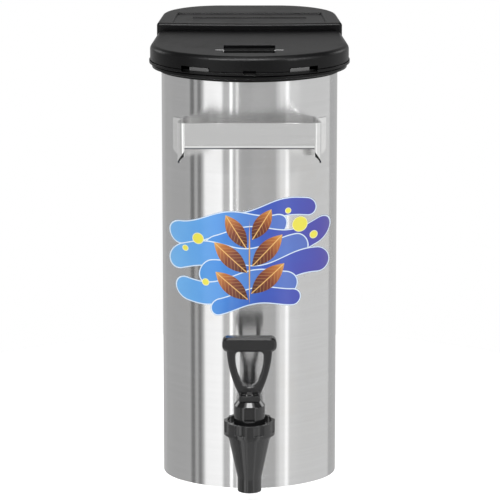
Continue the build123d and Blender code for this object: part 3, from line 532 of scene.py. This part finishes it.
def printed_film():
    """The front design: ribbons from sky blue to indigo, amber leaves and yellow dots on clear film."""
    material, tree, shader = new_material(
        "printed_film", roughness=0.28, coat_weight=0.5, coat_roughness=0.12
    )
    place = tree.parts(tree.place())
    drift = tree.noise(tree.place(), scale=30.0, detail=3.0, stretch=(0.4, 1, 1.6))
    drift = tree.math("MULTIPLY_ADD", drift, TINT_DRIFT, -TINT_DRIFT / 2)
    share = tree.math("ADD", tree.span(place["X"], -PRINT_HALF_WIDTH, PRINT_HALF_WIDTH), drift)
    blues = tree.ramp(share, BLUES)
    colour = blues
    cover = 0.0
    for x, z, length, height, slope, phase, shade in RIBBONS:
        band = use(
            tree, ribbon, Middle_X=x / 1000, Middle_Z=z / 1000, Half_Length=length / 1000,
            Half_Height=height / 1000, Slope=slope, Phase=phase, Wave=WAVE_HEIGHT, Rim=RIBBON_RIM,
        )
        tint = tree.mix(shade, blues, SKY_BLUE)
        colour = tree.mix(band["Fill"], colour, tree.mix(band["Rim"], tint, PALE_BLUE))
        cover = tree.math("MAXIMUM", cover, band["Fill"])
    for x, z, turn, length, width in LEAVES:
        blade = use(
            tree, leaf, Middle_X=x / 1000, Middle_Z=z / 1000, Turn=radians(turn),
            Half_Length=length / 1000, Half_Width=width / 1000,
        )
        tint = tree.mix(blade["Vein"], tree.ramp(blade["Along"], AMBERS), VEIN_AMBER)
        colour = tree.mix(blade["Fill"], colour, tint)
        cover = tree.math("MAXIMUM", cover, blade["Fill"])
    for x, z, radius in DOTS:
        spot = use(
            tree, ribbon, Middle_X=x / 1000, Middle_Z=z / 1000, Half_Height=radius / 1000, Rim=DOT_RIM
        )
        colour = tree.mix(spot["Fill"], colour, tree.mix(spot["Rim"], YELLOW, PALE_YELLOW))
        cover = tree.math("MAXIMUM", cover, spot["Fill"])
    tree.put(colour, shader["Base Color"])
    tree.put(cover, shader["Alpha"])
    return material


def grey(level):
    """Give an even colour of one level."""
    return level, level, level, 1


def add_world():
    """Surround the urn with a studio: white to the camera, bands to gloss, one level to the rest."""
    world = bpy.data.worlds.new("studio")
    scene.world = world
    world.use_nodes = True
    tree = Tree(world.node_tree)
    world.node_tree.nodes.clear()
    way = tree.parts(tree.add("ShaderNodeTexCoord").outputs["Generated"])
    bearing = tree.math("ARCTAN2", way["X"], tree.math("MULTIPLY", way["Y"], -1.0))
    bands = BASE_LEVEL
    for start, stop, level, soft in CARDS:
        inside = tree.span(bearing, radians(start - soft / 2), radians(start + soft / 2), smooth=True)
        beyond = tree.span(bearing, radians(stop - soft / 2), radians(stop + soft / 2), smooth=True)
        card = tree.math("SUBTRACT", inside, beyond)
        bands = tree.math("MULTIPLY_ADD", tree.math("SUBTRACT", level, bands), card, bands)
    axes = {"side": tree.size(way["X"]), "Y": way["Y"], "Z": way["Z"]}
    mirrored = bands
    for level, limits in ZONES:
        share = 1.0
        for axis, start, full, soft in limits:
            share = tree.math("MULTIPLY", share, tree.span(axes[axis], start, full, smooth=soft))
        mirrored = tree.mix(share, mirrored, grey(level))
    rays = tree.add("ShaderNodeLightPath").outputs
    colour = tree.mix(rays["Is Glossy Ray"], grey(SOFT_LEVEL), mirrored)
    colour = tree.mix(rays["Is Camera Ray"], colour, (1, 1, 1, 1))
    background = tree.add("ShaderNodeBackground", {"Color": colour, "Strength": 1.0})
    tree.put(background.outputs[0], tree.add("ShaderNodeOutputWorld").inputs[0])


def add_spring():
    """Wind the tap's closing spring in the room of its plain sleeve."""
    low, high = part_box("stem_spring")
    centre = (low + high) / 2
    wire = SPRING_WIRE / 2
    coil = (high.x - low.x) / 2 - wire
    pitch = (high.z - low.z - SPRING_WIRE) / SPRING_TURNS
    shape = bmesh.new()
    section = bmesh.ops.create_circle(shape, cap_ends=True, segments=WIRE_SIDES, radius=wire)["verts"]
    upright = Matrix.Rotation(pi / 2, 3, "X")
    bmesh.ops.rotate(shape, verts=section, cent=(0, 0, 0), matrix=upright)
    bmesh.ops.translate(shape, verts=section, vec=(centre.x + coil, centre.y, low.z + wire))
    steps = SPRING_TURNS * TURN_STEPS
    bmesh.ops.spin(
        shape,
        geom=list(shape.faces),
        cent=(centre.x, centre.y, 0),
        axis=(0, 0, 1),
        dvec=(0, 0, SPRING_TURNS * pitch / steps),
        angle=2 * pi * SPRING_TURNS,
        steps=steps,
    )
    bmesh.ops.recalc_face_normals(shape, faces=list(shape.faces))
    for face in shape.faces:
        face.smooth = len(face.verts) == 4
    mesh = bpy.data.meshes.new("closing_spring")
    shape.to_mesh(mesh)
    shape.free()
    spring = bpy.data.objects.new("closing_spring", mesh)
    scene.collection.objects.link(spring)
    spring.data.materials.append(finishes["spring_steel"])
    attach(spring, "valve")
    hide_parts("stem_spring")
    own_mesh(spring)


def add_floor():
    """Lay a round sheet of white paper under the urn."""
    mesh = bpy.data.meshes.new("floor")
    shape = bmesh.new()
    bmesh.ops.create_circle(shape, cap_ends=True, segments=96, radius=FLOOR_RADIUS)
    shape.to_mesh(mesh)
    shape.free()
    floor = bpy.data.objects.new("floor", mesh)
    scene.collection.objects.link(floor)
    material, tree, shader = new_material("paper", base_color=FLOOR_TONE, roughness=0.7)
    seen = tree.add("ShaderNodeLightPath").outputs["Is Camera Ray"]
    shader["Emission Color"].default_value = (1, 1, 1, 1)
    tree.put(tree.math("MULTIPLY", seen, FLOOR_GLOW), shader["Emission Strength"])
    floor.data.materials.append(material)
    floor.visible_glossy = False  # the world's lower part stands for it there


brushing = make_brushing()
smudges = make_smudges()
moulded_grain = make_moulded_grain()
worn_edges = make_worn_edges()
ribbon = make_ribbon()
leaf = make_leaf()

finishes = {"printed_film": printed_film()}
for name, values in STEELS.items():
    finishes[name] = steel(name, **values)
for name, values in PLASTICS.items():
    finishes[name] = moulded(name, **values)
slots = {entry["node"]: entry["material_slot"] for entry in frame["record"]["subparts"]}
for name, node in nodes.items():
    for index in range(len(node.data.materials)):
        node.data.materials[index] = finishes[slots[name]]

add_spring()
add_camera()
add_world()
add_floor()
for lamp in LAMPS:
    add_lamp(*lamp)
